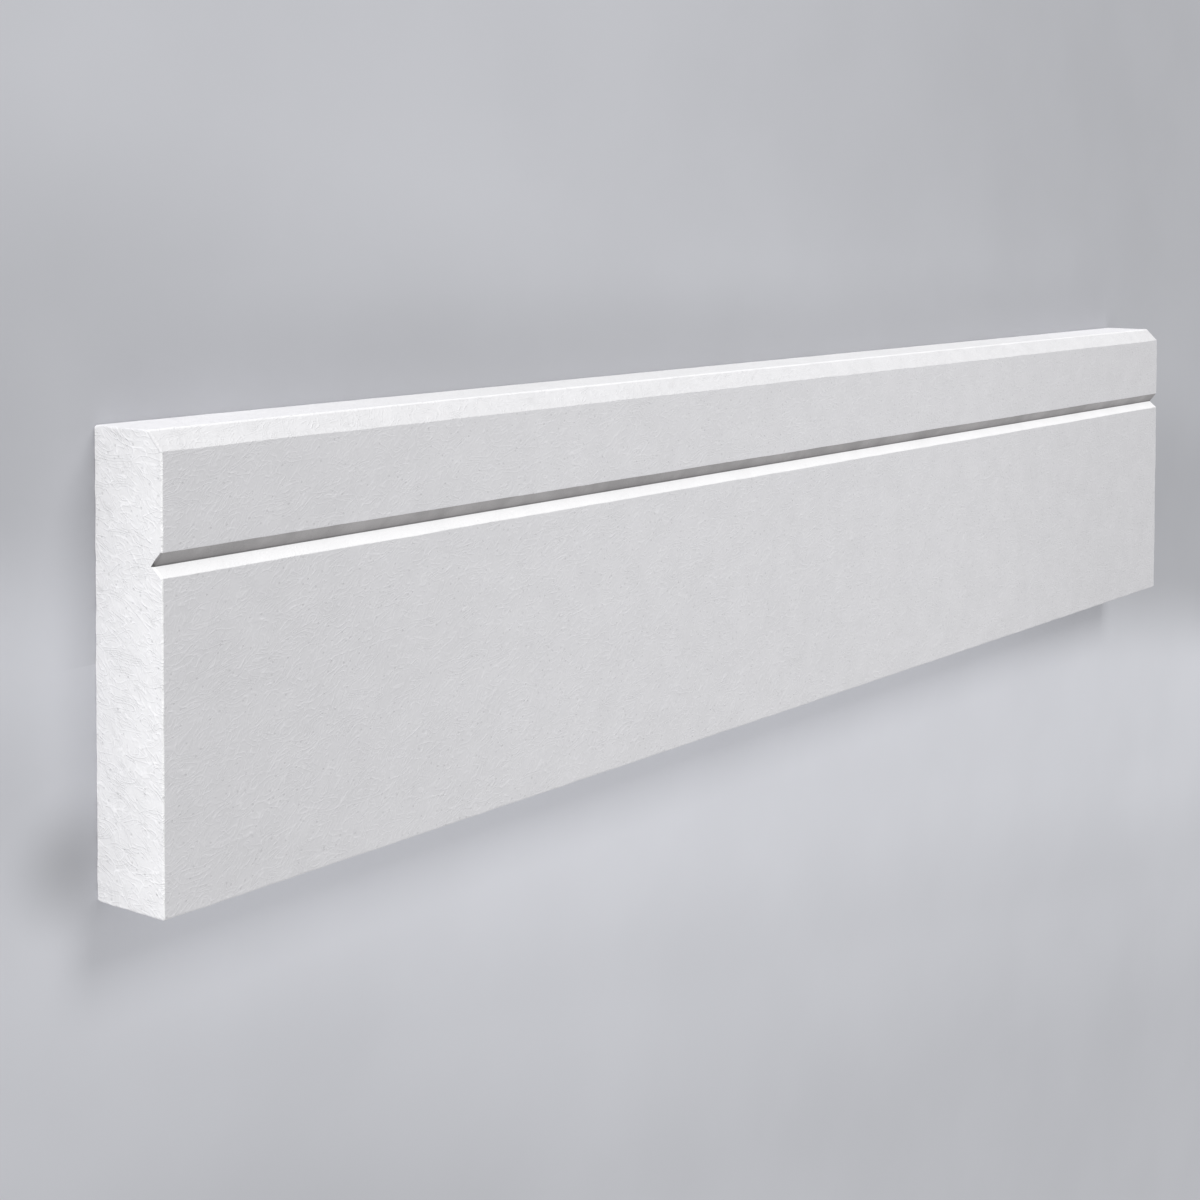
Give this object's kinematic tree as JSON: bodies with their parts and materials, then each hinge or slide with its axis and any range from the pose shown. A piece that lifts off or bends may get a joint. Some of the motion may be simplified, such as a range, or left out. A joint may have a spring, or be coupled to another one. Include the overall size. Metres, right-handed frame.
{
  "type": "skirting board length",
  "caption": "Straight length of white primed skirting board with a bevelled top front edge, a V groove along its face, a flat back and square sawn ends.",
  "frame": {"origin": "centre of the flat back face, which the board lies on", "axes": "+X along the length, +Y from the foot towards the top edge, +Z out of the back face towards the front face"},
  "size_m": [0.6, 0.12, 0.025],
  "materials": {
    "primed_mdf": "matte white primer over medium-density fibreboard"
  },
  "bodies": {
    "root": {"skirting_board": "primed_mdf"}
  },
  "joints": []
}
